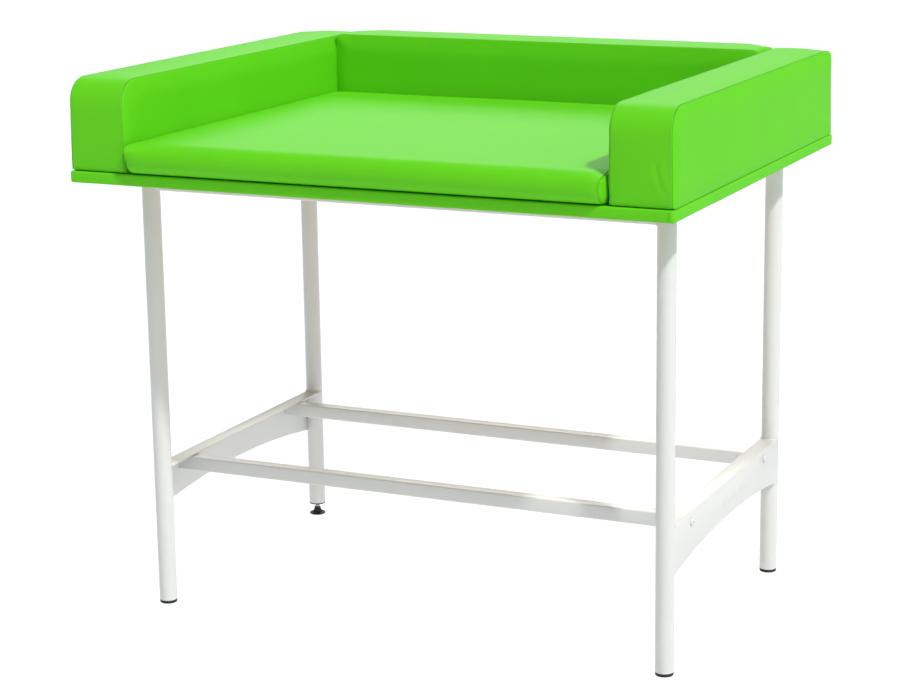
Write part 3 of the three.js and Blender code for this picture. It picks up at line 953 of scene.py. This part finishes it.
def puff(piece, setup, cap):
    mesh = piece.data
    floorZ = min(vert.co.z for vert in mesh.vertices)
    across = [item.value for item in mesh.attributes["across"].data]
    held = [vert.index for vert in mesh.vertices
            if vert.co.z < floorZ + setup["heldFoot"] * mm
            or abs(across[vert.index] - sewnEdge["inset"]) < setup["heldSeam"]]
    group = piece.vertex_groups.new(name="held")
    group.add(held, 1.0, "REPLACE")
    modifier = piece.modifiers.new("puff", "CLOTH")
    settings = modifier.settings
    settings.quality = setup["quality"]
    settings.mass = setup["mass"]
    settings.tension_stiffness = setup["tension"]
    settings.compression_stiffness = setup["tension"]
    settings.bending_stiffness = setup["bending"]
    settings.use_pressure = True
    settings.uniform_pressure_force = setup["pressure"]
    settings.effector_weights.gravity = 0
    settings.vertex_group_mass = "held"
    modifier.collision_settings.use_collision = False
    for number in range(1, setup["frames"] + 1):
        scene.frame_set(number)
    depsgraph = bpy.context.evaluated_depsgraph_get()
    puffed = [vert.co.copy() for vert in piece.evaluated_get(depsgraph).data.vertices]
    piece.modifiers.clear()
    scene.frame_set(1)
    moved = 0
    for vert, place in zip(mesh.vertices, puffed):
        step = place - vert.co
        moved = max(moved, step.length)
        if step.length > cap * mm:
            step *= cap * mm / step.length
        vert.co += step
    piece.vertex_groups.clear()
    print("  puffed", piece.name, "by up to", round(moved / mm, 1), "mm, kept to", cap)


sewnEdge = {
    "inset": 3.6,
    "width": 0.9,
    "depth": 1.1,
    "shadeWidth": 0.8,
    "shadeSide": 0.12,      # painted shade in the groove on an upright side
    "shadeTop": 0.62,       # and how much more painted shade on a part that faces up
    "shadeStitches": 0.3,   # painted shade along the needle holes' row
}


def sewEdges(piece, setup):
    # a groove where the panels are sewn, once the mesh is fine enough to hold it, with painted shade in the
    # groove and along the stitch row
    modifier = piece.modifiers.new("fine", "SUBSURF")
    modifier.levels = modifier.render_levels = 1
    applyModifiers(piece)
    mesh = piece.data
    across = [item.value for item in mesh.attributes["across"].data]
    shade = mesh.attributes.new("paintedSeamShade", "FLOAT", "POINT")
    normals = [vert.normal.copy() for vert in mesh.vertices]
    for vert in mesh.vertices:
        off = across[vert.index] - setup["inset"]
        dent = math.exp(-(off / setup["width"]) ** 2)
        vert.co -= normals[vert.index] * dent * setup["depth"] * mm
        # painted shade: the groove and the stitch row are darkened in colour, more where the surface faces up
        facingUp = smoothStep(normals[vert.index].z, 0.2, 0.9)
        strength = setup["shadeSide"] + setup["shadeTop"] * facingUp
        stitchRowShade = setup["shadeStitches"] * math.exp(-((off - stitch["beside"]) / setup["shadeWidth"]) ** 2)
        shade.data[vert.index].value = max(stitchRowShade, strength * math.exp(-(off / setup["shadeWidth"]) ** 2))
    mesh.attributes.remove(mesh.attributes["across"])


def relax(piece, amount, width, seed):
    # slow unevenness of the filling under a stretched cover, and a finer one over it
    finer = 0.35
    mesh = piece.data
    normals = [vert.normal.copy() for vert in mesh.vertices]
    floorZ = min(vert.co.z for vert in mesh.vertices)
    for vert in mesh.vertices:
        wave = noise.noise(vert.co / (width * mm) + Vector((seed, 0, 0)))
        wave += finer * noise.noise(vert.co / (finer * width * mm) + Vector((0, seed, 0)))
        free = smoothStep(vert.co.z - floorZ, 1 * mm, 18 * mm)
        vert.co += normals[vert.index] * wave * amount * mm * free


frontCrease = {
    # across from the inner side and up from the foot
    "path": ((80, 78), (81, 62), (86, 42), (95, 24)),
    "width": 3.2,
    "depth": 1.7,
    "lip": 0.5,         # share of the depth that the fold stands up beside its groove
    "lipPlace": 2.2,    # widths from the groove
    "lipWidth": 1.1,
}


def crease(piece, points, facing, setup):
    # a shallow fold along a line of points, on the parts of the surface that face that way
    mesh = piece.data
    line = [Vector(point) for point in points]
    normals = [vert.normal.copy() for vert in mesh.vertices]
    width = setup["width"] * mm
    near = max((point - line[0]).length for point in line) + 6 * width
    for vert in mesh.vertices:
        if (vert.co - line[0]).length > near or normals[vert.index].dot(facing) < 0.3:
            continue
        best, along = 1, 0
        for index, (first, second) in enumerate(zip(line, line[1:])):
            run = second - first
            share = min(max((vert.co - first).dot(run) / run.length_squared, 0), 1)
            gap = vert.co - first - run * share
            distance = (gap - facing * gap.dot(facing)).length
            if distance < best:
                best, along = distance, (index + share) / (len(line) - 1)
        side = best / width
        fade = math.sin(math.pi * min(max(along, 0.02), 0.98)) ** 0.6
        lip = setup["lip"] * math.exp(-((side - setup["lipPlace"]) / setup["lipWidth"]) ** 2)
        vert.co += facing * (lip - math.exp(-side ** 2)) * setup["depth"] * mm * fade


def press(piece, centre, dent, sign=1):
    # a soft dent: points near the centre give way, most at the middle
    push = Vector(dent["push"]) * mm
    push.x *= sign
    for vert in piece.data.vertices:
        share = 1 - (vert.co - centre).length / (dent["radius"] * mm)
        if share > 0:
            vert.co += push * smoothStep(share, 0, 1)


stitch = {
    "pitch": 5.0,       # real stitches are about 3 mm apart, drawn longer and thicker so that they show
    "length": 3.2,
    "radius": 0.85,
    "flatness": 0.8,
    "beside": 1.9,      # from the groove, onto the band
    "startHeight": 6,
    "above": 12,        # where each stitch is dropped from
    "steps": (8, 5),
}


def stitches(piece, setup, blockSetup):
    # short thread lengths along both seams, laid on the finished surface
    tree = BVHTree.FromObject(piece, bpy.context.evaluated_depsgraph_get())
    half = Vector(piece["fillHalf"])
    middle = Vector(piece["fillMiddle"])
    turn = Matrix.Rotation(-math.pi / 2, 3, "Z") if blockSetup["turned"] else Matrix.Identity(3)
    front, back = [radii[0] * mm for radii in (blockSetup["cornersFront"], blockSetup["cornersBack"])]
    base = -half.z + setup["startHeight"] * mm
    frontMiddle = Vector((0, -half.y + front, half.z - front))
    backMiddle = Vector((0, half.y - back, half.z - back))
    # a straight run has a start and a way, a round one a middle, a radius and an angle to start from
    runs = [(half.z - front - base, Vector((0, -half.y, base)), Vector((0, 0, 1)), None),
            (math.pi / 2 * front, None, None, (frontMiddle, front, math.pi)),
            (2 * half.y - front - back, Vector((0, -half.y + front, half.z)), Vector((0, 1, 0)), None),
            (math.pi / 2 * back, None, None, (backMiddle, back, math.pi / 2)),
            (half.z - back - base, Vector((0, half.y, half.z - back)), Vector((0, 0, -1)), None)]
    one = bmesh.new()
    bmesh.ops.create_uvsphere(one, u_segments=setup["steps"][0], v_segments=setup["steps"][1],
                              radius=setup["radius"] * mm, matrix=Matrix.Rotation(math.pi / 2, 4, "Y"))
    scale = Matrix.Diagonal((setup["length"] / 2 / setup["radius"], 1, setup["flatness"], 1))
    aside = (sewnEdge["inset"] + setup["beside"]) * mm
    bm = bmesh.new()
    carried = 0
    for length, start, way, bendRun in runs:
        distance = carried
        while distance < length:
            if bendRun:
                centre, radius, startAngle = bendRun
                angle = startAngle - distance / radius
                out = Vector((0, math.cos(angle), math.sin(angle)))
                place = centre + out * radius
                tangent = Vector((0, math.sin(angle), -math.cos(angle)))
            else:
                place = start + way * distance
                tangent = way
                out = Vector((0, -way.z, way.y))
            place += out * setup["above"] * mm
            for side in (-1, 1):
                point = middle + turn @ (place + Vector((side * (half.x - aside), 0, 0)))
                hit, normal, face, gap = tree.ray_cast(point, turn @ -out, 30 * mm)
                if hit is not None:
                    along = (turn @ tangent).normalized()
                    up = normal.normalized()
                    aim = Matrix((along, up.cross(along).normalized(), up)).transposed().to_4x4()
                    copy = one.copy()
                    copy.transform(Matrix.Translation(hit) @ aim @ scale)
                    addShape(bm, copy)
            distance += setup["pitch"] * mm
        carried = distance - length
    one.free()
    smoothShade(newPiece(piece.name + "_stitches", bm, thread, "frame"), 80)


def softPiece(name, node, setup, body, seed):
    low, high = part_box(node)
    piece = softBlock(name, low, high, setup, body, node)
    puff(piece, cloth, setup["cap"])
    sewEdges(piece, sewnEdge)
    relax(piece, setup["uneven"], setup["unevenWidth"], seed)
    return piece, low, high


bolster = {
    "turned": False,
    "inset": (0.3, 1.2, 0.6),
    "rest": 0.1,
    "forward": 0,
    "flare": 1.8,               # the block stands a little wider at its foot
    "cornersFront": (43, 4),    # top and bottom corner radius at the front end
    "cornersBack": (14, 4),
    "edge": 6.5,
    "edgeFront": 6.5,
    "frontReach": (2, 22),      # mm below the top where the front's radius begins and is complete
    "edgeBottom": 3.0,
    "bottomReach": 30,
    "mesh": 9,
    "seamLoops": (1.6, 2.7, 3.6, 4.5, 5.6, 8.5),
    "cap": 2.4,
    "uneven": 0.35,
    "unevenWidth": 120,
    "seed": {"left": 1.7, "right": 2.7},
    "footDent": {"radius": 24, "push": (1.8, 1.0, 0), "height": 12},
    "backDent": {"radius": 62, "push": (0, 0, -3.5)},
}


def sideBolster(side, setup):
    name = "bolster_" + side
    piece, low, high = softPiece(name + "_padded", name + "_cover", setup, "frame", setup["seed"][side])
    sign = sides[side]
    innerX, outerX = (low.x, high.x) if sign > 0 else (high.x, low.x)
    footDent = setup["footDent"]
    press(piece, Vector((innerX, low.y, low.z + footDent["height"] * mm)), footDent, sign)
    press(piece, Vector((outerX, high.y, high.z)), setup["backDent"])
    if side == "right":
        points = [(innerX + x * mm, low.y, low.z + z * mm) for x, z in frontCrease["path"]]
        crease(piece, points, Vector((0, -1, 0)), frontCrease)
    smoothShade(piece, 50)
    stitches(piece, stitch, setup)


backBolster = dict(bolster, turned=True, cornersFront=(11, 3), cornersBack=(11, 3), inset=(1.2, -1.0, -1.5),
                   seed=5.3, endDent={"radius": 60, "push": (0, 0, -5)})


def makeBackBolster(setup):
    piece, low, high = softPiece("bolster_back_padded", "bolster_back_cover", setup, "frame", setup["seed"])
    for endX in (low.x, high.x):
        press(piece, Vector((endX, high.y, high.z)), setup["endDent"])
    smoothShade(piece, 50)
    stitches(piece, stitch, setup)


pad = {
    "turned": False,
    "inset": (0.6, 0.0, 1.0),
    "rest": 0.2,
    "flare": 0,
    "forward": 4.5,             # the filling bulges past the board's edge
    "cornersFront": (22, 28),
    "cornersBack": (14, 10),
    "edge": 7,
    "edgeFront": 20,
    "frontReach": (2, 22),
    "edgeBottom": 7,
    "bottomReach": 30,
    "mesh": 11,
    "seamLoops": (1.6, 2.7, 3.6, 4.5, 5.6, 8.5, 13),
    "cap": 2.6,
    "uneven": 0.5,
    "unevenWidth": 170,
    "seed": 2.7,
    # the right front corner has sunk and the left one is pulled out
    "rightDent": {"radius": 36, "push": (0, 0, -5), "back": 16, "down": 0},
    "leftDent": {"radius": 34, "push": (-1.5, -6, 0), "back": 2, "down": 6},
}


def changingPad(setup):
    piece, low, high = softPiece("changing_pad_padded", "pad_cover", setup, "pad", setup["seed"])
    for cornerX, dent in ((high.x, setup["rightDent"]), (low.x, setup["leftDent"])):
        press(piece, Vector((cornerX, low.y + dent["back"] * mm, high.z - dent["down"] * mm)), dent)
    smoothShade(piece, 50)


for side in sides:
    sideBolster(side, bolster)
makeBackBolster(backBolster)
report("bolsters made")
changingPad(pad)
report("changing pad made")


# board cover: leatherette over the panel's edges, stapled underneath
boardCover = {
    "corner": 4.5,
    "topEdge": 3.2,
    "bottomEdge": 2.2,
    "edgeSteps": 4,
    "hem": 40,
    "thickness": 1.2,
    "slice": 16,        # mm between cuts, so that the edge can wave
    "wave": 0.45,
    "waveWidth": 60,
    "seed": 9.1,
}


def makeBoardCover(setup):
    node = "board_cover"
    low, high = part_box(node)
    grow = Vector((setup["wave"], setup["wave"], 0)) * mm
    bm = block(low + grow, high - grow)
    roundEdges(bm, edgesAlong(bm, 2), setup["corner"], setup["edgeSteps"])
    for level, width in ((high.z, setup["topEdge"]), (low.z, setup["bottomEdge"])):
        rim = [edge for edge in bm.edges if all(abs(vert.co.z - level) < 1e-5 for vert in edge.verts)]
        roundEdges(bm, rim, width, setup["edgeSteps"])
    under = min(bm.faces, key=lambda face: face.calc_center_median().z)
    bmesh.ops.inset_region(bm, faces=[under], thickness=setup["hem"] * mm, use_even_offset=True)
    bmesh.ops.delete(bm, geom=[under], context="FACES")
    for axis in (0, 1):
        count = int((high[axis] - low[axis]) / (setup["slice"] * mm))
        for index in range(1, count):
            place = Vector((0, 0, 0))
            place[axis] = low[axis] + (high[axis] - low[axis]) * index / count
            aim = Vector((0, 0, 0))
            aim[axis] = 1
            cutAcross(bm, place, aim)
    bm.normal_update()
    for vert in bm.verts:
        wave = noise.noise(vert.co / (setup["waveWidth"] * mm) + Vector((setup["seed"], 0, 0)))
        if vert.co.z < high.z - 0.1 * mm:
            vert.co += vert.normal * wave * setup["wave"] * mm
    piece = newPiece("board_cover_wrapped", bm, leatherette, "frame", [node])
    wall = piece.modifiers.new("cloth", "SOLIDIFY")
    wall.thickness = setup["thickness"] * mm
    wall.offset = -1
    applyModifiers(piece)
    smoothShade(piece, 40)


cornerFold = {"fromCorner": 3.4, "width": 6, "thickness": 1.0, "sunk": 0.4, "round": 0.45, "margin": 1.2}


def cornerFolds(setup):
    # at each corner the cover is folded over on itself, and the fold's free edge shows
    low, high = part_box("board_cover")
    bm = bmesh.new()
    for way in ends.values():
        for sign in sides.values():
            face = low.y if way < 0 else high.y
            corner = (low.x if sign < 0 else high.x) - sign * setup["fromCorner"] * mm
            first = Vector((corner, face - way * setup["sunk"] * mm, low.z + setup["margin"] * mm))
            second = first - Vector((sign * setup["width"], -way * setup["thickness"], 0)) * mm
            second.z = high.z - 2 * setup["margin"] * mm
            fold = block(Vector(map(min, first, second)), Vector(map(max, first, second)))
            roundEdges(fold, fold.edges[:], setup["round"], 3)
            addShape(bm, fold)
    piece = newPiece("board_cover_folds", bm, leatherette, "frame")
    smoothShade(piece, 40)


makeBoardCover(boardCover)
cornerFolds(cornerFold)
report("board cover made")
